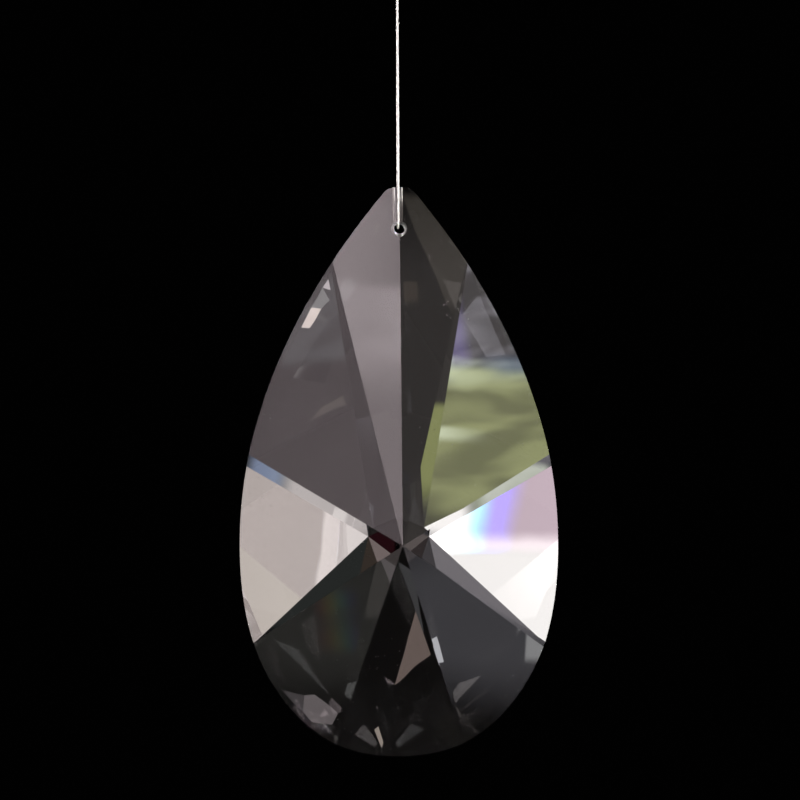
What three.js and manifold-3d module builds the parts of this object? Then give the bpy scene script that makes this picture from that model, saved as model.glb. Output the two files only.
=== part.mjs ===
// Crystal suncatcher: a clear faceted teardrop that hangs on a thin doubled line.
// Millimetres, +Z up, the front of the drop faces -Y.
// The origin is the top of the hanging loop, on the inside, where a hook bears.

import * as THREE from "three";
import { mergeVertices } from "three/addons/utils/BufferGeometryUtils.js";
import Module from "manifold-3d";

const wasm = await Module();
wasm.setup();

// Outline of the drop, measured from its widest line
const widestToTip = 47.6;
const widestToFoot = 28.4;
const drop = {
  halfWidth: 21.3,
  tipHalfWidth: 1.5,        // the tip is cut flat across this much each side of the middle
  tipCorner: 1.0,           // length of the rounding beside the flat
  footRoundness: 2.2,       // 2 is an ellipse, more is fuller at the corners
};

// The point where all the facets of one face meet
const apex = {
  rise: 12.2,               // above the middle plane, on the front and on the back
  aboveWidest: 0.4,
};

// Where each ridge between two facets meets the outline.
// share is a part of the way from the widest line to the tip, or to the foot where it is negative.
// edge is half the thickness of the drop there.
const ridgeEnds = [
  { share: 1, edge: 0.55 },         // tip
  { share: 0.79, edge: 1.0 },       // shoulder
  { share: 0.249, edge: 0.65 },     // waist
  { share: -0.461, edge: 1.7 },     // hip
  { share: -0.937, edge: 1.5 },     // foot
];
// The back is cut a little lower than the front at the waist and the hip
const backRidgeDrop = [0, 0, 1.5, 0.7, 0];

// Bore for the line, through the drop from front to back
const bore = {
  radius: 0.75,
  belowTip: 5.56,
  chamfer: 0.2,
};

// Hanging line, its knot and its loop
const lineDiameter = 0.3;
const touchGap = 0.3;       // room left between two pieces that touch
const lineAboveTip = 26.5;
const knot = {
  radius: 0.6,
  height: 1.6,
  wraps: 3,
};
const loop = {
  width: 4.4,
  height: 8,
  legGap: 0.1,              // between the two legs where they leave the knot
};

// How finely the round forms are divided
const outlineSteps = 40;
const cornerSteps = 6;
const boreSides = 32;
const lineSides = 8;
const lineSteps = 80;
const loopPoints = 24;
const loopSteps = 60;
const knotSides = 16;
const wrapSteps = 6;

// Strands of the line as x, y, z from the middle of the bore. The front one runs from the knot down
// into the bore, and the back one up to the knot again.
const frontStrand = [
  [-0.26, -0.18, 32.06],
  [-0.25, -0.57, 27],
  [-0.24, -0.95, 22],
  [-0.23, -1.33, 17],
  [-0.22, -1.71, 12],
  [-0.21, -2.09, 7],
  [-0.21, -2.39, 3],
  [-0.2, -2.5, 1.25],
  [-0.2, -2.37, 0.75],
  [-0.2, -2, 0.38],
  [-0.19, -1.5, 0.25],
  [-0.17, -0.75, 0.25],
];
const boreMiddle = [-0.15, 0, 0.25];
const backStrand = [
  [-0.13, 0.75, 0.25],
  [-0.11, 1.5, 0.25],
  [-0.1, 2, 0.38],
  [-0.1, 2.37, 0.75],
  [-0.1, 2.5, 1.25],
  [-0.11, 2.39, 3],
  [-0.13, 2.09, 7],
  [-0.16, 1.71, 12],
  [-0.19, 1.33, 17],
  [-0.22, 0.95, 22],
  [-0.24, 0.57, 27],
  [-0.26, 0.18, 32.06],
];

// Heights, down from the origin
const lineRadius = lineDiameter / 2;
const loopFootZ = lineRadius - loop.height;
const knotTopZ = loopFootZ - touchGap;
const knotFootZ = knotTopZ - knot.height;
const lineTopZ = knotFootZ - touchGap;
const tipZ = lineTopZ - lineAboveTip;
const widestZ = tipZ - widestToTip;
const boreZ = tipZ - bore.belowTip;

// Half the width of the drop at a height above its widest line
function halfWidthAt(height) {
  if (height >= 0) {
    const flankBend = (drop.halfWidth - drop.tipHalfWidth) / widestToTip ** 2;
    return drop.halfWidth - flankBend * height ** 2;
  }
  const depth = Math.min(-height / widestToFoot, 1);
  return drop.halfWidth * (1 - depth ** drop.footRoundness) ** (1 / drop.footRoundness);
}

// Right half of the outline, from the foot to the tip
function rightHalf() {
  const points = [];
  for (let i = 0; i < outlineSteps; i += 1) {
    const turn = (i / outlineSteps) * (Math.PI / 2);
    const power = 2 / drop.footRoundness;
    const x = drop.halfWidth * Math.sin(turn) ** power;
    points.push(new THREE.Vector2(x, -widestToFoot * Math.cos(turn) ** power));
  }
  const flankTop = widestToTip - drop.tipCorner;
  for (let i = 0; i < outlineSteps; i += 1) {
    const height = (i / outlineSteps) * flankTop;
    points.push(new THREE.Vector2(halfWidthAt(height), height));
  }
  const corner = new THREE.QuadraticBezierCurve(
    new THREE.Vector2(halfWidthAt(flankTop), flankTop),
    new THREE.Vector2(halfWidthAt(widestToTip), widestToTip),
    new THREE.Vector2(halfWidthAt(widestToTip) / 2, widestToTip),
  );
  points.push(...corner.getPoints(cornerSteps));
  return points;
}

function outlineShape() {
  const right = rightHalf();
  const left = right
    .slice(1)
    .reverse()
    .map((point) => new THREE.Vector2(-point.x, point.y));
  return new THREE.Shape([...right, ...left]);
}

function toSolid(geometry) {
  const bare = geometry.clone();
  bare.deleteAttribute("normal");
  bare.deleteAttribute("uv");
  const merged = mergeVertices(bare, 1e-5);
  const mesh = new wasm.Mesh({
    numProp: 3,
    vertProperties: new Float32Array(merged.attributes.position.array),
    triVerts: new Uint32Array(merged.index.array),
  });
  return new wasm.Manifold(mesh);
}

function toGeometry(solid) {
  const mesh = solid.getMesh();
  const geometry = new THREE.BufferGeometry();
  geometry.setAttribute("position", new THREE.BufferAttribute(new Float32Array(mesh.vertProperties), 3));
  geometry.setIndex(new THREE.BufferAttribute(new Uint32Array(mesh.triVerts), 1));
  geometry.computeVertexNormals();
  return geometry;
}

// The outline as a straight-sided block, thicker than the drop
function outlineBlock() {
  const depth = 2 * (apex.rise + 2);
  const block = new THREE.ExtrudeGeometry(outlineShape(), { depth, bevelEnabled: false });
  block.translate(0, 0, -depth / 2);
  block.rotateX(Math.PI / 2);
  return toSolid(block);
}

// One face of the drop as a many-sided cone with its point at the apex.
// Its ridges run out past the outline, and it closes at a point far behind.
function facetCone(toward, dropOf) {
  const reach = 1.6;
  const tail = 5 * apex.rise;
  const point = new THREE.Vector3(0, toward * apex.rise, apex.aboveWidest);
  const ends = [];
  ridgeEnds.forEach((ridge, i) => {
    const span = ridge.share >= 0 ? widestToTip : widestToFoot;
    const height = ridge.share * span - dropOf[i];
    const x = ridge.share === 1 ? 0 : halfWidthAt(height);
    ends.push(new THREE.Vector3(x, toward * ridge.edge, height));
  });
  const leftEnds = ends
    .slice(1)
    .reverse()
    .map((end) => new THREE.Vector3(-end.x, end.y, end.z));
  const ring = [...ends, ...leftEnds].map((end) => end.sub(point).multiplyScalar(reach).add(point));
  const positions = [point, new THREE.Vector3(0, -toward * tail, 0), ...ring].flatMap((p) => p.toArray());
  const faces = [];
  for (let i = 0; i < ring.length; i += 1) {
    const a = 2 + i;
    const b = 2 + ((i + 1) % ring.length);
    faces.push(...(toward < 0 ? [0, b, a, 1, a, b] : [0, a, b, 1, b, a]));
  }
  const cone = new THREE.BufferGeometry();
  cone.setAttribute("position", new THREE.BufferAttribute(new Float32Array(positions), 3));
  cone.setIndex(faces);
  return toSolid(cone);
}

// The drill runs along Y, and widens where it breaks out at each face
function boreDrill() {
  const slope = (apex.rise - ridgeEnds[0].edge) / (widestToTip - apex.aboveWidest);
  const surface = ridgeEnds[0].edge + slope * bore.belowTip;
  const outside = surface + 2;
  const wide = bore.radius + bore.chamfer + (outside - surface);
  const profile = [
    new THREE.Vector2(0, -outside),
    new THREE.Vector2(wide, -outside),
    new THREE.Vector2(bore.radius, bore.chamfer - surface),
    new THREE.Vector2(bore.radius, surface - bore.chamfer),
    new THREE.Vector2(wide, outside),
    new THREE.Vector2(0, outside),
  ];
  const drill = new THREE.LatheGeometry(profile, boreSides);
  return toSolid(drill).translate([0, 0, widestToTip - bore.belowTip]);
}

function dropGeometry() {
  const front = facetCone(-1, ridgeEnds.map(() => 0));
  const back = facetCone(1, backRidgeDrop);
  return toGeometry(outlineBlock().intersect(front).intersect(back).subtract(boreDrill()));
}

// A round rod along a curve
function rod(curve, radius, sides, steps) {
  const section = new THREE.Shape();
  for (let i = 0; i < sides; i += 1) {
    const turn = (i / sides) * 2 * Math.PI;
    const x = radius * Math.cos(turn);
    const y = radius * Math.sin(turn);
    if (i === 0) {
      section.moveTo(x, y);
    } else {
      section.lineTo(x, y);
    }
  }
  section.closePath();
  return new THREE.ExtrudeGeometry(section, { steps, extrudePath: curve, bevelEnabled: false });
}

function lineGeometry() {
  const route = [...frontStrand, boreMiddle, ...backStrand].map((p) => new THREE.Vector3(...p));
  const curve = new THREE.CatmullRomCurve3(route, false, "centripetal");
  return rod(curve, lineRadius, lineSides, lineSteps);
}

// The line wound round itself in a short barrel
function knotGeometry() {
  const wrapRadius = knot.height / (2 * knot.wraps);
  const coreRadius = knot.radius - wrapRadius;
  const profile = [new THREE.Vector2(0, 0)];
  for (let wrap = 0; wrap < knot.wraps; wrap += 1) {
    for (let i = 0; i <= wrapSteps; i += 1) {
      const turn = (i / wrapSteps - 0.5) * Math.PI;
      const height = (2 * wrap + 1 + Math.sin(turn)) * wrapRadius;
      if (wrap === 0 || i > 0) {
        profile.push(new THREE.Vector2(coreRadius + wrapRadius * Math.cos(turn), height));
      }
    }
  }
  profile.push(new THREE.Vector2(0, knot.height));
  const barrel = new THREE.LatheGeometry(profile, knotSides);
  barrel.rotateX(Math.PI / 2);
  return barrel;
}

// Both legs of the loop rise side by side from the knot, swell out and meet at the top
function loopGeometry() {
  const swellPeak = 0.77;     // greatest value of the swell below
  const legX = lineRadius + loop.legGap / 2;
  const points = [];
  for (let i = 0; i <= loopPoints; i += 1) {
    const turn = (i / loopPoints) * Math.PI;
    const swell = (Math.sin(2 * turn) * Math.sin(turn)) / swellPeak;
    const x = -legX * Math.cos(turn) * (1 - swell) - (loop.width / 2 - lineRadius) * swell;
    const z = (loop.height / 2) * (1 - Math.cos(2 * turn));
    points.push(new THREE.Vector3(x, 0, z));
  }
  const curve = new THREE.CatmullRomCurve3(points, false, "centripetal");
  return rod(curve, lineRadius, lineSides, loopSteps);
}

const glass = new THREE.MeshStandardMaterial({
  color: "#e9e8ee",
  roughness: 0.02,
  metalness: 0,
  transparent: true,
  opacity: 0.35,
  flatShading: true,
});
const nylon = new THREE.MeshStandardMaterial({ color: "#e6e3dd", roughness: 0.35, metalness: 0 });

function piece(name, geometry, material, height) {
  const mesh = new THREE.Mesh(geometry, material);
  mesh.name = name;
  mesh.position.z = height;
  return mesh;
}

const suncatcher = new THREE.Group();
suncatcher.add(
  piece("crystal_drop", dropGeometry(), glass, widestZ),
  piece("hanging_line", lineGeometry(), nylon, boreZ),
  piece("hanging_knot", knotGeometry(), nylon, knotFootZ),
  piece("hanging_loop", loopGeometry(), nylon, loopFootZ),
);

export default suncatcher;
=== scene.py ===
from math import cos, pi, radians, sin, tau

import bmesh
import bpy
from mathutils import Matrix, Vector


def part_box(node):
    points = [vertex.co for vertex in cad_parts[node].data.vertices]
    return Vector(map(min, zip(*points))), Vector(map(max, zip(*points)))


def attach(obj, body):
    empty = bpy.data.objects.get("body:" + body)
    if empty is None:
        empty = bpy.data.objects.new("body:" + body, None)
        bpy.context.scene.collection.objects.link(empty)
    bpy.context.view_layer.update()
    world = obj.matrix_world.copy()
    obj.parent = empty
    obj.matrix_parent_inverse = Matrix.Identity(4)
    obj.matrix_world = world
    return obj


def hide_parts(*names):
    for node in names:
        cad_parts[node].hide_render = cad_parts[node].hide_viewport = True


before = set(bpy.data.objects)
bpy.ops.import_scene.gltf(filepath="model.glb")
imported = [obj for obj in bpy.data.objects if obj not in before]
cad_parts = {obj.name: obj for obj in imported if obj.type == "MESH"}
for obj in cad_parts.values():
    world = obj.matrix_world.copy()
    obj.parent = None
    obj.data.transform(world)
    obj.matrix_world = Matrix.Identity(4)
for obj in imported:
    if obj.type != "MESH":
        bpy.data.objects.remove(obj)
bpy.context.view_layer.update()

mm = 0.001
widestBelowTip = 47.6 * mm
boreBelowTip = 5.56 * mm
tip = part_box("crystal_drop")[1].z
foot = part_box("crystal_drop")[0].z
widestLine = tip - widestBelowTip
boreMiddle = Vector((0, 0, tip - boreBelowTip))
print("frame loaded, drop from", round(foot, 4), "to", round(tip, 4))


# Camera, level and a little to the left of the drop

view = {
    "distance": 300 * mm,
    "turn": -2.2,                 # degrees round the drop, less than 0 is to the left
    "aboveWidest": 19.15 * mm,
    "aside": 0.1 * mm,            # the drop hangs this far left of the picture's middle
    "takesIn": 107.1 * mm,        # width of the picture at the drop
    "sensor": 36.0,
    "nearest": 0.01,
    "furthest": 20.0,
}


def makeCamera(v):
    lens = bpy.data.cameras.new("camera")
    lens.sensor_width = v["sensor"]
    lens.lens = v["sensor"] * v["distance"] / v["takesIn"]
    lens.clip_start = v["nearest"]
    lens.clip_end = v["furthest"]
    camera = bpy.data.objects.new("camera", lens)
    turn = radians(v["turn"])
    camera.location = (
        v["aside"] + v["distance"] * sin(turn),
        -v["distance"] * cos(turn),
        widestLine + v["aboveWidest"],
    )
    camera.rotation_euler = (pi / 2, 0, turn)
    bpy.context.scene.collection.objects.link(camera)
    bpy.context.scene.camera = camera


makeCamera(view)
print("camera set")


# Finishes: shader maths as plain sums, and one method for every other node

class Wire:
    def __init__(self, finish, socket):
        self.finish = finish
        self.socket = socket

    def maths(self, operation, *values):
        return self.finish.node("ShaderNodeMath", {"operation": operation}, dict(enumerate(values)))

    def __add__(self, other):
        return self.maths("ADD", self, other)

    def __radd__(self, other):
        return self.maths("ADD", other, self)

    def __sub__(self, other):
        return self.maths("SUBTRACT", self, other)

    def __rsub__(self, other):
        return self.maths("SUBTRACT", other, self)

    def __mul__(self, other):
        return self.maths("MULTIPLY", self, other)

    def __rmul__(self, other):
        return self.maths("MULTIPLY", other, self)

    def eased(self, low, high):
        return self.finish.node(
            "ShaderNodeMapRange",
            {"interpolation_type": "SMOOTHSTEP"},
            {"Value": self, "From Min": low, "From Max": high},
        )


class Finish:
    def __init__(self, name):
        self.material = bpy.data.materials.new(name)
        self.material.use_nodes = True
        self.tree = self.material.node_tree
        self.tree.nodes.clear()

    def node(self, kind, settings=None, inputs=None, output=0):
        made = self.tree.nodes.new(kind)
        for name, value in (settings or {}).items():
            setattr(made, name, value)
        for name, value in (inputs or {}).items():
            if isinstance(value, Wire):
                self.tree.links.new(value.socket, made.inputs[name])
            else:
                made.inputs[name].default_value = value
        return Wire(self, made.outputs[output]) if made.outputs else None

    def blend(self, share, below, above):
        # sockets 6 and 7 of a Mix node take its two colours, and its output 2 gives the blend
        return self.node("ShaderNodeMix", {"data_type": "RGBA"}, {0: share, 6: below, 7: above}, 2)

    def noise(self, place, scale, detail):
        return self.node(
            "ShaderNodeTexNoise",
            None,
            {"Vector": place, "Scale": scale, "Detail": detail},
        )

    def bump(self, height, strength, depth):
        return self.node(
            "ShaderNodeBump",
            None,
            {"Strength": strength, "Distance": depth, "Height": height},
        )

    def surface(self, shader):
        self.node("ShaderNodeOutputMaterial", None, {"Surface": shader})
        return self.material


# Hanging line: two strands through the bore, a wound knot and a loop

line = {
    "diameter": 0.3 * mm,
    "length": 68 * mm,            # from the knot, through the bore and back to the knot
    "colour": (0.80, 0.76, 0.73),
    "shaded": (0.68, 0.64, 0.61),
    "mottlesPerMetre": 900.0,
    "mottled": (0.3, 0.7),        # level of the mottle where the shade begins and is full
    "roughness": 0.38,
    "index": 1.53,
    "marksPerMetre": 9000.0,
    "markDepth": 0.02 * mm,
    "drawnMarks": 0.12,           # strength of the fine marks along it
    "roundness": 4,               # steps round a quarter of the line
    "bendSteps": 8,               # steps from one point of its route to the next
}
# Strands as x, y, z in mm from the middle of the bore: the front one from the knot down, the back one up
frontStrand = [
    (-0.26, -0.18, 32.06),
    (-0.25, -0.57, 27),
    (-0.24, -0.95, 22),
    (-0.23, -1.33, 17),
    (-0.22, -1.71, 12),
    (-0.21, -2.09, 7),
    (-0.21, -2.39, 3),
    (-0.2, -2.5, 1.25),
    (-0.2, -2.37, 0.75),
    (-0.2, -2, 0.38),
    (-0.19, -1.5, 0.25),
    (-0.17, -0.75, 0.25),
]
insideBore = (-0.15, 0, 0.25)
backStrand = [
    (-0.13, 0.75, 0.25),
    (-0.11, 1.5, 0.25),
    (-0.1, 2, 0.38),
    (-0.1, 2.37, 0.75),
    (-0.1, 2.5, 1.25),
    (-0.11, 2.39, 3),
    (-0.13, 2.09, 7),
    (-0.16, 1.71, 12),
    (-0.19, 1.33, 17),
    (-0.22, 0.95, 22),
    (-0.24, 0.57, 27),
    (-0.26, 0.18, 32.06),
]


def lineFinish(l):
    finish = Finish("pale_monofilament")
    place = finish.node("ShaderNodeTexCoord", output="Object")
    marks = finish.noise(place, l["marksPerMetre"], 3.0)
    mottle = finish.noise(place, l["mottlesPerMetre"], 2.0)
    shade = finish.blend(mottle.eased(*l["mottled"]), (*l["colour"], 1), (*l["shaded"], 1))
    bump = finish.bump(marks, l["drawnMarks"], l["markDepth"])
    return finish.surface(finish.node("ShaderNodeBsdfPrincipled", None, {
        "Base Color": shade,
        "Roughness": l["roughness"],
        "IOR": l["index"],
        "Normal": bump,
    }))


def tube(name, points, l):
    curve = bpy.data.curves.new(name, "CURVE")
    curve.dimensions = "3D"
    curve.bevel_depth = l["diameter"] / 2
    curve.bevel_resolution = l["roundness"]
    curve.resolution_u = l["bendSteps"]
    curve.use_fill_caps = True
    spline = curve.splines.new("BEZIER")
    spline.bezier_points.add(len(points) - 1)
    for point, place in zip(spline.bezier_points, points):
        point.co = place
        point.handle_left_type = point.handle_right_type = "AUTO"
    made = bpy.data.objects.new(name, curve)
    bpy.context.scene.collection.objects.link(made)
    return made


knot = {
    "radius": 0.6 * mm,
    "turns": 5,
    "pointsPerTurn": 16,
}
loop = {
    "width": 4.4 * mm,
    "height": 8.0 * mm,
    "lowest": -7.85 * mm,         # its two ends, just inside the knot's top
    "legs": 0.2 * mm,             # from the middle to each leg where they leave the knot
    "swellPeak": 0.77,            # the swell's own largest value, so that the width comes out right
    "points": 24,
}


def knotPoints(k, low, high, halfLine):
    # the line winds up round its own strands
    reach = k["radius"] - halfLine
    steps = k["turns"] * k["pointsPerTurn"]
    rise = high - low - 2 * halfLine
    points = []
    for step in range(steps + 1):
        share = step / steps
        turn = tau * k["turns"] * share
        points.append((reach * cos(turn), reach * sin(turn), low + halfLine + rise * share))
    return points


def loopPoints(l, halfLine):
    points = []
    for step in range(l["points"] + 1):
        turn = pi * step / l["points"]
        swell = sin(2 * turn) * sin(turn) / l["swellPeak"]
        side = -l["legs"] * cos(turn) * (1 - swell) - (l["width"] / 2 - halfLine) * swell
        points.append((side, 0, l["lowest"] + l["height"] / 2 * (1 - cos(2 * turn))))
    return points


halfLine = line["diameter"] / 2
monofilament = lineFinish(line)
route = [Vector(point) * mm + boreMiddle for point in [*frontStrand, insideBore, *backStrand]]
hangingLine = tube("line", route, line)
knotLow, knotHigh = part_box("hanging_knot")
woundKnot = tube("knot", knotPoints(knot, knotLow.z, knotHigh.z, halfLine), line)
hangingLoop = tube("loop", loopPoints(loop, halfLine), line)
for piece, node in (
    (hangingLine, "hanging_line"),
    (woundKnot, "hanging_knot"),
    (hangingLoop, "hanging_loop"),
):
    piece.data.materials.append(monofilament)
    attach(piece, "root")
    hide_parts(node)
print("line, knot and loop made")


# Crystal drop: the CAD solid with its edges just broken and its band and bore smooth

crystal = {
    "weldWithin": 0.001 * mm,     # corners of the solid nearer than this are one
    "flatWithin": 0.4,            # degrees, for joining the triangles of one facet
    "edgeFrom": 9.0,              # degrees between two faces that count as an edge
    "brokenEdge": 0.08 * mm,      # width that the polisher takes off each edge
    "slimWithin": 2.2,            # a face narrower than this many broken edges is one of them
    "boreReach": 1.1 * mm,        # the bore and its rims lie this near its middle line
    "bandLean": 0.02,             # how far a face of the band may lean to the front or back
    "index": 1.52,
    "waviness": 0.25,             # strength of the long low waves that polishing leaves
    "waveDepth": 0.02 * mm,
    "waveLength": 7 * mm,
    "dust": 0.3,                  # roughness of the finest specks
    "dustSize": 0.25 * mm,
    "specks": (0.66, 0.74),       # level of their noise where they begin and are full
    "patchesPerWave": 0.6,        # the dust lies in wide patches
    "patches": (0.5, 0.68),
    "boreColour": (0.97, 0.97, 0.98),
    "boreRoughness": 0.42,
    "boreClearness": 0.6,
    "drillMarks": 0.22 * mm,      # from one turning mark in the bore to the next
    "markStrength": 0.7,
    "markDepth": 0.03 * mm,
    "boreGrain": 0.6,             # strength of the grain beside that of the turning marks
    "boreGrainsPerMetre": 9000.0,
    "bandColour": (0.98, 0.98, 0.985),
    "bandRoughness": 0.1,
    "bandClearness": 0.5,
    "bandGrain": (0.2, 0.8),
    "bandGrainsPerMetre": 700.0,
}
polished, drilled, ground = range(3)  # places of the three finishes on the drop


def polishedFinish(c):
    finish = Finish("clear_crystal")
    place = finish.node("ShaderNodeTexCoord", output="Object")
    waves = finish.noise(place, 1 / c["waveLength"], 1.0)
    specks = finish.noise(place, 1 / c["dustSize"], 2.0)
    patches = finish.noise(place, c["patchesPerWave"] / c["waveLength"], 2.0)
    return finish.surface(finish.node("ShaderNodeBsdfPrincipled", None, {
        "Base Color": (1.0, 1.0, 1.0, 1),
        "Roughness": specks.eased(*c["specks"]) * patches.eased(*c["patches"]) * c["dust"],
        "IOR": c["index"],
        "Transmission Weight": 1.0,
        "Normal": finish.bump(waves, c["waviness"], c["waveDepth"]),
    }))


def drilledFinish(c):
    # the drilled wall is left as the drill cut it, with rings along its length
    finish = Finish("ground_bore")
    place = finish.node("ShaderNodeTexCoord", output="Object")
    along = finish.node("ShaderNodeSeparateXYZ", None, {"Vector": place}, "Y")
    turns = along * (tau / c["drillMarks"])
    grain = finish.noise(place, c["boreGrainsPerMetre"], 3.0)
    cut = turns.maths("SINE", turns) + grain * c["boreGrain"]
    return finish.surface(finish.node("ShaderNodeBsdfPrincipled", None, {
        "Base Color": (*c["boreColour"], 1),
        "Roughness": c["boreRoughness"],
        "IOR": c["index"],
        "Transmission Weight": c["boreClearness"],
        "Normal": finish.bump(cut, c["markStrength"], c["markDepth"]),
    }))


def groundFinish(c):
    finish = Finish("fine_ground_band")
    place = finish.node("ShaderNodeTexCoord", output="Object")
    grain = finish.noise(place, c["bandGrainsPerMetre"], 4.0)
    return finish.surface(finish.node("ShaderNodeBsdfPrincipled", None, {
        "Base Color": (*c["bandColour"], 1),
        "Roughness": c["bandRoughness"] * grain.eased(*c["bandGrain"]),
        "IOR": c["index"],
        "Transmission Weight": c["bandClearness"],
    }))


def inBore(face, c):
    return all(
        Vector((corner.co.x - boreMiddle.x, corner.co.z - boreMiddle.z)).length < c["boreReach"]
        for corner in face.verts
    )


def onBand(face, c):
    return abs(face.normal.y) < c["bandLean"]


def brokenByBand(face, c):
    # a slim face that the broken edge left, with the band on one side
    longest = max(edge.calc_length() for edge in face.edges)
    if face.calc_area() > c["slimWithin"] * c["brokenEdge"] * longest:
        return False
    return any(onBand(other, c) for edge in face.edges for other in edge.link_faces)


def cutCrystal(c, source):
    mesh = bmesh.new()
    mesh.from_mesh(source.data)
    bmesh.ops.remove_doubles(mesh, verts=mesh.verts, dist=c["weldWithin"])
    bmesh.ops.dissolve_limit(
        mesh,
        angle_limit=radians(c["flatWithin"]),
        verts=mesh.verts,
        edges=mesh.edges,
    )
    for face in mesh.faces:
        face.material_index = drilled if inBore(face, c) else ground if onBand(face, c) else polished
        face.smooth = face.material_index != polished
    edges = [
        edge for edge in mesh.edges
        if edge.calc_face_angle() > radians(c["edgeFrom"])
        and not any(inBore(face, c) for face in edge.link_faces)
    ]
    bmesh.ops.bevel(
        mesh,
        geom=edges,
        offset=c["brokenEdge"],
        segments=1,
        profile=0.5,
        affect="EDGES",
        clamp_overlap=True,
    )
    mesh.normal_update()
    for face in mesh.faces:
        if face.material_index == polished and brokenByBand(face, c):
            face.material_index = ground
    for edge in mesh.edges:
        edge.smooth = edge.calc_face_angle() < radians(c["edgeFrom"])
    data = bpy.data.meshes.new("crystal")
    mesh.to_mesh(data)
    mesh.free()
    made = bpy.data.objects.new("crystal", data)
    bpy.context.scene.collection.objects.link(made)
    return made


drop = cutCrystal(crystal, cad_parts["crystal_drop"])
for finish in (polishedFinish, drilledFinish, groundFinish):
    drop.data.materials.append(finish(crystal))
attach(drop, "root")
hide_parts("crystal_drop")
unpolished = sum(face.material_index != polished for face in drop.data.polygons)
print("crystal cut,", len(drop.data.polygons), "faces,", unpolished, "of them not polished")


# Stage: a dark surround, a pale floor below and soft cards far round the drop

stage = {
    "surround": 0.0004,
    "floorBelow": 38 * mm,
    "floorReach": 170 * mm,
    "cardDistance": 20.0,
    "cardStep": 0.05,             # each card stands this much further out than the one before
    "cardPart": 2.0,              # degrees that one division of a card covers
    "fewestParts": 2,
    "bounces": 24,
    "glossyBounces": 16,
}
middle = Vector((0, 0, widestLine))

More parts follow.
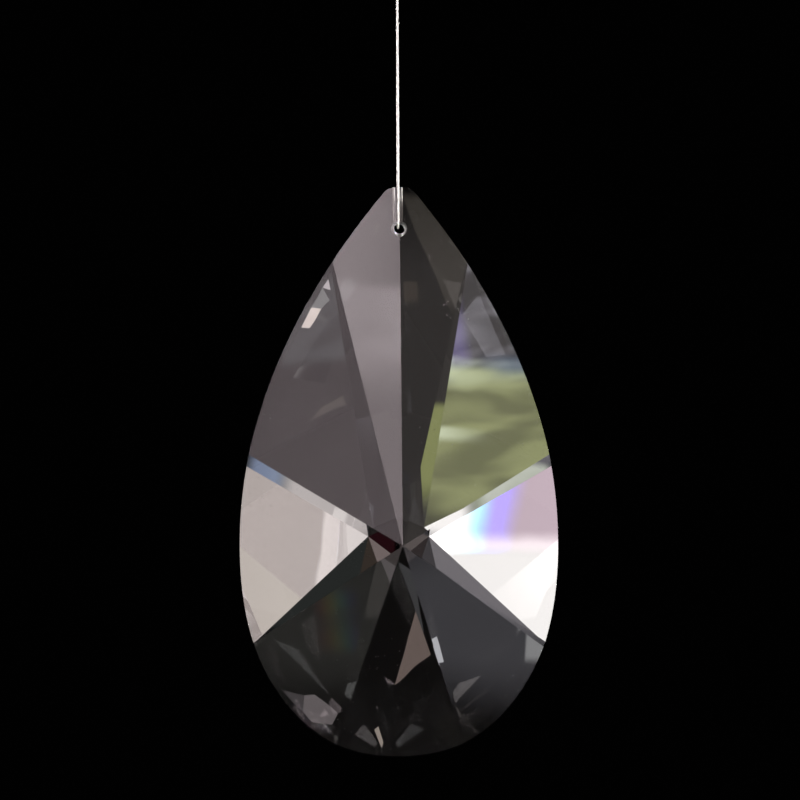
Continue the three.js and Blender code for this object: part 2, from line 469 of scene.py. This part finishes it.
# Each card lies from one side angle to another and from one height angle to another, in degrees seen
# from the drop: side 0 is straight behind it and 90 is its right. soft is how many degrees its left,
# right, low and high edges take to fade, lean how far it slides right for each degree up, spread how
# far red moves left and blue right at its edges, and cloud how much of its light comes in streaks.
cards = {
    "right_sheet": {
        "side": (38.0, 104), "up": (-13.2, 9),
        "light": (0.43, 0.37, 0.352), "soft": (1.0, 8, 0.8, 5),
    },
    "right_panel": {
        "side": (48.0, 100), "up": (-13.2, 9),
        "light": (0.42, 0.39, 0.39), "soft": (0.5, 8, 1, 5),
    },
    "right_strip": {
        "side": (37.2, 52), "up": (-12.9, -8.4),
        "light": (0.13, 0.14, 0.15), "soft": (1.2, 6, 0.6, 1.2),
    },
    "blue_strip": {
        "side": (36.4, 38.6), "up": (-11.0, -9.2),
        "light": (0.16, 0.2, 0.31), "soft": (0.6, 0.8, 0.3, 0.3),
    },
    "right_high": {
        "side": (27, 46), "up": (16, 31),
        "light": (0.85, 0.8, 0.69), "soft": (3, 6, 2, 2.5),
    },
    "right_peak": {
        "side": (39.5, 49), "up": (30, 39),
        "light": (0.85, 0.8, 0.69), "soft": (2.5, 3, 2.5, 3),
    },
    "right_low": {
        "side": (6, 26), "up": (-33, -21.5),
        "light": (0.75, 0.69, 0.68), "soft": (3, 3, 2, 2),
    },
    "left_panel": {
        "side": (-84, -36.0), "up": (-2.1, 24),
        "light": (1.2, 1.2, 1.2), "soft": (12, 1.9, 0.3, 8),
        "spread": (0.6, 1.2),
    },
    "left_panel_foot": {
        "side": (-84, -37.5), "up": (-5.5, -1.9),
        "light": (1.2, 1.2, 1.2), "soft": (12, 1.5, 0.25, 0.3),
        "spread": (0.6, 1.2), "lean": 0.5,
    },
    "left_sheet": {
        "side": (-41, -31), "up": (-5.5, 12),
        "light": (0.65, 0.51, 0.58), "soft": (2, 0.6, 0.4, 4),
    },
    "left_strip": {
        "side": (-84, -33), "up": (-12.2, -4.75),
        "light": (1.1, 1.06, 1.04), "soft": (12, 0.8, 0.7, 0.8),
    },
    "left_strip_end": {
        "side": (-33.6, -29.9), "up": (-11.9, -9.4),
        "light": (0.42, 0.45, 0.36), "soft": (0.8, 0.4, 0.4, 0.3),
    },
    "green_sheet": {
        "side": (-33.5, -26), "up": (-16.6, -11.6),
        "light": (0.2, 0.215, 0.095), "soft": (0.2, 0.6, 1.4, 0.3),
        "cloud": 0.35,
    },
    "green_top_streak": {
        "side": (-33.5, -26), "up": (-12.5, -11.4),
        "light": (0.25, 0.28, 0.23), "soft": (0.2, 5, 0.7, 0.2),
        "lean": 0.3, "cloud": 0.5,
    },
    "green_low_streak": {
        "side": (-33.5, -28.8), "up": (-13.9, -13.3),
        "light": (0.27, 0.3, 0.27), "soft": (0.2, 3, 0.3, 0.2),
        "cloud": 0.4,
    },
    "violet_strip": {
        "side": (-33, -26), "up": (-11.75, -8.6),
        "light": (0.095, 0.09, 0.102), "soft": (0.5, 0.5, 0.3, 0.5),
        "cloud": 0.75,
    },
    "violet_edge": {
        "side": (-30.6, -29.2), "up": (-11.9, -9.4),
        "light": (0.045, 0.03, 0.13), "soft": (0.2, 0.5, 0.5, 1.4),
    },
    "blue_haze": {
        "side": (-29.4, -26), "up": (-12.1, -11.2),
        "light": (0.06, 0.09, 0.13), "soft": (1.4, 0.5, 0.45, 0.35),
    },
    "green_slot": {
        "side": (-20.4, -17.6), "up": (-17.2, -13.9),
        "light": (0.19, 0.21, 0.07), "soft": (0.3, 0.3, 1.2, 0.3),
    },
    "grey_slot": {
        "side": (-29, -21.5), "up": (1.5, 6.6),
        "light": (0.175, 0.162, 0.175), "soft": (2, 1, 2.2, 0.6),
    },
    "grey_strip": {
        "side": (34, 38), "up": (-12.2, -9.4),
        "light": (0.03, 0.032, 0.034), "soft": (0.4, 0.6, 0.4, 0.6),
        "cloud": 0.4,
    },
    "centre_grey": {
        "side": (2.15, 3.4), "up": (-6.6, -3.4),
        "light": (0.085, 0.07, 0.068), "soft": (0.1, 0.1, 0.2, 0.2),
    },
    "centre_red": {
        "side": (1.3, 2.1), "up": (-6.6, -3.4),
        "light": (0.014, 0.003, 0.0045), "soft": (0.1, 0.1, 0.2, 0.2),
    },
    "centre_beige": {
        "side": (7.4, 8.5), "up": (3.3, 4.4),
        "light": (0.135, 0.108, 0.103), "soft": (0.2, 0.2, 0.2, 0.2),
    },
    "rose_strip": {
        "side": (15, 20), "up": (6.3, 9.6),
        "light": (0.034, 0.026, 0.021), "soft": (1, 1, 0.6, 0.6),
    },
    "left_brow": {
        "side": (-15, -11.5), "up": (5.8, 9.4),
        "light": (0.05, 0.046, 0.05), "soft": (1, 1, 0.6, 0.6),
    },
    "dim_sheet": {
        "side": (-6.4, 10.6), "up": (2, 5.6),
        "light": (0.03, 0.024, 0.024), "soft": (1, 1, 0.5, 0.5),
    },
    "crown_light": {
        "side": (1.1, 2.4), "up": (12.3, 14),
        "light": (0.075, 0.066, 0.068), "soft": (0.2, 0.2, 0.2, 0.2),
    },
    "crown_shade": {
        "side": (11.7, 13), "up": (15.8, 17.8),
        "light": (0.02, 0.018, 0.017), "soft": (0.2, 0.2, 0.3, 0.3),
    },
    "rainbow_slot": {
        "side": (22.9, 24.1), "up": (12.2, 14.3),
        "light": (0.011, 0.012, 0.009), "soft": (0.6, 0.5, 0.6, 0.5),
        "spread": (0.25, 0.3), "cloud": 0.5,
    },
    "left_foot_slot": {
        "side": (-16.5, -15.4), "up": (11.7, 13.6),
        "light": (0.18, 0.18, 0.18), "soft": (0.1, 0.2, 0.3, 0.3),
    },
    "wedge_grey": {
        "side": (27.2, 32), "up": (3.2, 7),
        "light": (0.02, 0.022, 0.021), "soft": (0.6, 0.6, 0.5, 0.5),
    },
    "crown_right": {
        "side": (-10.7, -9.3), "up": (-13.4, -9.8),
        "light": (0.026, 0.023, 0.019), "soft": (0.08, 0.3, 0.9, 0.3),
        "lean": -0.37,
    },
    "crown_left": {
        "side": (-12.15, -11.6), "up": (-12.9, -12.2),
        "light": (0.022, 0.017, 0.013), "soft": (0.1, 0.12, 0.3, 0.1),
    },
    "front_left_panel": {
        "side": (-160.5, -146), "up": (17, 34),
        "light": (4.1, 3.5, 3.65), "soft": (3, 5, 4, 2),
    },
    "band_end": {
        "side": (41.0, 41.95), "up": (-12.9, -11.5),
        "light": (0.24, 0.23, 0.22), "soft": (0.1, 0.25, 0.3, 0.3),
    },
    "front_left_top": {
        "side": (-155.6, -151.5), "up": (29.2, 32.5),
        "light": (1.3, 1.1, 1.15), "soft": (2.2, 1, 0.5, 1.2),
    },
    "front_left_streak": {
        "side": (-160, -150), "up": (26.3, 29.7),
        "light": (2.4, 2.1, 2.2), "soft": (2, 2, 1.8, 0.4),
        "cloud": 0.15,
    },
    "front_left_sheet": {
        "side": (-141, -112), "up": (8, 32),
        "light": (1.72, 1.43, 1.52), "soft": (5, 6, 6, 8),
    },
    "front_right_sheet": {
        "side": (108, 138), "up": (8, 32),
        "light": (0.8, 0.72, 0.68), "soft": (8, 6, 6, 6),
    },
    "front_right_panel": {
        "side": (141, 155), "up": (17, 32.2),
        "light": (0.6, 0.54, 0.52), "soft": (4, 3, 4, 3.4),
    },
    "back_left": {
        "side": (-33, -20), "up": (22, 35),
        "light": (2.8, 2.6, 2.55), "soft": (3, 3, 3, 3),
    },
    "back_side": {
        "side": (48, 68), "up": (12, 26),
        "light": (1.3, 1.2, 1.2), "soft": (4, 4, 4, 4),
    },
    "inner_glow": {
        "side": (107, 121), "up": (-10.5, -4.5),
        "light": (0.5, 0.48, 0.47), "soft": (4, 4, 2, 2),
    },
    "front_glow": {
        "side": (149, 170), "up": (-10.5, 0.5),
        "light": (0.5, 0.48, 0.47), "soft": (4, 4, 3, 3),
    },
}

# The streaks of a clouded card, long and rising a little to the right
streaks = {
    "across": 0.3,                # streaks for each degree to the right
    "upward": 1.15,               # and for each degree up
    "rise": 0.16,                 # degrees that they rise for each degree to the right
    "detail": 1.5,
    "swirl": 0.4,
    "edges": (0.32, 0.68),        # level of the noise where a streak begins and is full
}

# Small plain reflectors, each by its corners in the same side and height angles
slots = {
    "rose_slot": {
        "corners": [(2.75, 19.88), (2.14, 17.79), (3.15, 18.64)],
        "light": (0.125, 0.095, 0.085),
    },
    "white_slot": {
        "corners": [(-7.29, 15.45), (-7.89, 15.11), (-7.65, 14.59), (-7.12, 14.72)],
        "light": (0.4, 0.4, 0.42),
    },
    "gold_slot": {
        "corners": [(1.58, 16.56), (1.69, 16.65), (1.84, 16.22), (1.8, 16.08)],
        "light": (0.26, 0.22, 0.19),
    },
    "rim_white_slot": {
        "corners": [(35.08, -10.49), (34.78, -11.0), (35.18, -11.05), (35.54, -10.57)],
        "light": (0.66, 0.56, 0.52),
    },
    "rim_top_slot": {
        "corners": [(35.61, -9.78), (35.43, -9.98), (35.78, -10.08)],
        "light": (0.45, 0.4, 0.42),
    },
    "rim_grey_slot": {
        "corners": [(35.43, -9.98), (35.08, -10.49), (35.54, -10.57), (35.81, -10.35)],
        "light": (0.15, 0.15, 0.15),
    },
    "foot_slot": {
        "corners": [
            (22.27, 11.21), (22.57, 11.24), (23.2, 10.78), (23.0, 10.49), (22.4, 10.5), (22.16, 10.75),
        ],
        "light": (0.115, 0.1, 0.103),
    },
    "foot_slot_end": {
        "corners": [(21.56, 11.29), (22.27, 11.21), (22.16, 10.75), (21.9, 10.92)],
        "light": (0.045, 0.04, 0.042),
    },
    "beige_slot": {
        "corners": [(35.86, -13.64), (36.39, -13.22), (37.22, -13.04), (37.45, -13.31), (36.78, -13.4)],
        "light": (0.05, 0.043, 0.037),
    },
    "crown_strip": {
        "corners": [(-9.5, 18.2), (-8.85, 17.7), (-8.2, 15.5), (-8.6, 15.4)],
        "light": (0.04, 0.04, 0.042),
    },
}


def aim(side, up):
    side, up = radians(side), radians(up)
    return Vector((sin(side) * cos(up), cos(side) * cos(up), sin(up)))


def cardPatch(name, card, s, distance):
    # the patch of a sphere round the drop that the card covers
    margin = max(card.get("spread", (0, 0)))
    left, right = card["side"][0] - margin, card["side"][1] + margin
    low, high = card["up"]
    columns = max(s["fewestParts"], int((right - left) / s["cardPart"]))
    rows = max(s["fewestParts"], int((high - low) / s["cardPart"]))
    mesh = bmesh.new()
    chart = mesh.loops.layers.uv.new("card")
    grid = []
    for row in range(rows + 1):
        up = low + (high - low) * row / rows
        slide = card.get("lean", 0) * (up - low)
        ring = []
        for column in range(columns + 1):
            side = left + (right - left) * column / columns + slide
            ring.append(mesh.verts.new(middle + aim(side, up) * distance))
        grid.append(ring)
    for row in range(rows):
        for column in range(columns):
            corners = [(row, column), (row, column + 1), (row + 1, column + 1), (row + 1, column)]
            face = mesh.faces.new([grid[r][c] for r, c in corners])
            for corner, (r, c) in zip(face.loops, corners):
                corner[chart].uv = (c / columns, r / rows)
    data = bpy.data.meshes.new(name)
    mesh.to_mesh(data)
    mesh.free()
    return data


def addedLight(finish, colour):
    # light that adds to what lies behind the card
    glow = finish.node("ShaderNodeEmission", None, {"Color": colour, "Strength": 1.0})
    clear = finish.node("ShaderNodeBsdfTransparent")
    return finish.surface(finish.node("ShaderNodeAddShader", None, {0: glow, 1: clear}))


def cardLight(name, card, t):
    finish = Finish(name)
    place = finish.node("ShaderNodeUVMap", {"uv_map": "card"})
    width = card["side"][1] - card["side"][0]
    height = card["up"][1] - card["up"][0]
    softLeft, softRight, softLow, softHigh = card["soft"]
    redShift, blueShift = card.get("spread", (0, 0))
    margin = max(redShift, blueShift)
    shareAcross = finish.node("ShaderNodeSeparateXYZ", None, {"Vector": place}, "X")
    across = shareAcross * (width + 2 * margin) - margin
    upward = finish.node("ShaderNodeSeparateXYZ", None, {"Vector": place}, "Y") * height
    inside = upward.eased(0, softLow) * (height - upward).eased(0, softHigh)
    if "cloud" in card:
        streak = finish.node("ShaderNodeTexNoise", {"noise_dimensions": "2D"}, {
            "Vector": finish.node("ShaderNodeCombineXYZ", None, {
                "X": across * t["across"],
                "Y": (upward - across * t["rise"]) * t["upward"] + card["side"][0],
            }),
            "Scale": 1.0,
            "Detail": t["detail"],
            "Distortion": t["swirl"],
        })
        inside = inside * (1 - card["cloud"] + streak.eased(*t["edges"]) * (2 * card["cloud"]))
    shares = []
    for light, shift in zip(card["light"], (redShift, 0, -blueShift)):
        moved = across + shift
        shares.append(moved.eased(0, softLeft) * (width - moved).eased(0, softRight) * inside * light)
    return addedLight(finish, finish.node("ShaderNodeCombineColor", None, dict(enumerate(shares))))


def slotLight(name, slot):
    return addedLight(Finish(name), (*slot["light"], 1))


def slotPatch(name, slot, distance):
    data = bpy.data.meshes.new(name)
    corners = [middle + aim(side, up) * distance for side, up in slot["corners"]]
    data.from_pydata(corners, [], [range(len(corners))])
    return data


def softCard(data, light):
    made = bpy.data.objects.new(data.name, data)
    bpy.context.scene.collection.objects.link(made)
    data.materials.append(light)
    made.visible_camera = False


distance = stage["cardDistance"]
for name, slot in slots.items():
    softCard(slotPatch(name, slot, distance), slotLight(name, slot))
    distance += stage["cardStep"]
for name, card in cards.items():
    softCard(cardPatch(name, card, stage, distance), cardLight(name, card, streaks))
    distance += stage["cardStep"]


# Three narrow lamps for the line, which the crystal doesn't show

lamps = {
    "turns": (-25, 60, 215),      # degrees round the drop from the front
    "distance": 0.9,
    "width": 0.1,
    "powers": (0.055, 0.05, 0.13),
    "spread": 11,
}


def lineLamp(turn, power, l):
    light = bpy.data.lights.new("line_lamp", "AREA")
    light.energy = power
    light.size = l["width"]
    light.spread = radians(l["spread"])
    lamp = bpy.data.objects.new("line_lamp", light)
    turn = radians(turn)
    lamp.location = (l["distance"] * sin(turn), -l["distance"] * cos(turn), tip)
    lamp.rotation_euler = (pi / 2, 0, turn)
    lamp.visible_glossy = False
    lamp.visible_transmission = False
    bpy.context.scene.collection.objects.link(lamp)


for turn, power in zip(lamps["turns"], lamps["powers"]):
    lineLamp(turn, power, lamps)


# A pale floor with three soft pools of light painted into it as its own glow, which the facets show

floor = {
    "sides": 96,
    "colour": (0.72, 0.71, 0.69),
    "roughness": 0.6,
    "core": 1 / 3,                # share of a painted pool's reach that glows evenly
    "paintedPools": [
        {"place": (72 * mm, -66 * mm), "reach": 32 * mm, "light": (0.86, 0.84, 0.94)},
        {"place": (-62 * mm, -71 * mm), "reach": 30 * mm, "light": (0.34, 0.34, 0.31)},
        {"place": (40 * mm, 125 * mm), "reach": 34 * mm, "light": (0.45, 0.42, 0.4)},
    ],
}


def floorFinish(f):
    finish = Finish("pale_floor_painted_pools")
    place = finish.node("ShaderNodeTexCoord", output="Object")
    shares = [0, 0, 0]
    # painted light: each pool is glow in the floor's emission, brightest in its core and fading out to
    # its reach, with no lamp to cast it
    for pool in f["paintedPools"]:
        fromMiddle = finish.node(
            "ShaderNodeVectorMath",
            {"operation": "DISTANCE"},
            {0: place, 1: (*pool["place"], 0)},
            "Value",
        )
        share = 1 - fromMiddle.eased(pool["reach"] * f["core"], pool["reach"])
        shares = [share * light + other for light, other in zip(pool["light"], shares)]
    # the floor's emission carries the painted pools of light
    return finish.surface(finish.node("ShaderNodeBsdfPrincipled", None, {
        "Base Color": (*f["colour"], 1),
        "Roughness": f["roughness"],
        "Emission Color": finish.node("ShaderNodeCombineColor", None, dict(enumerate(shares))),
        "Emission Strength": 1.0,
    }))


def makeFloor(s, f):
    mesh = bmesh.new()
    bmesh.ops.create_circle(mesh, cap_ends=True, segments=f["sides"], radius=s["floorReach"])
    data = bpy.data.meshes.new("floor")
    mesh.to_mesh(data)
    mesh.free()
    made = bpy.data.objects.new("floor", data)
    made.location = (0, 0, foot - s["floorBelow"])
    bpy.context.scene.collection.objects.link(made)
    data.materials.append(floorFinish(f))


makeFloor(stage, floor)
world = bpy.data.worlds.new("surround")
world.use_nodes = True
world.node_tree.nodes["Background"].inputs["Color"].default_value = (*[stage["surround"]] * 3, 1)
scene = bpy.context.scene
scene.world = world
scene.view_settings.view_transform = "Standard"
scene.cycles.max_bounces = stage["bounces"]
scene.cycles.transmission_bounces = stage["bounces"]
scene.cycles.glossy_bounces = stage["glossyBounces"]
print("stage and lights set")
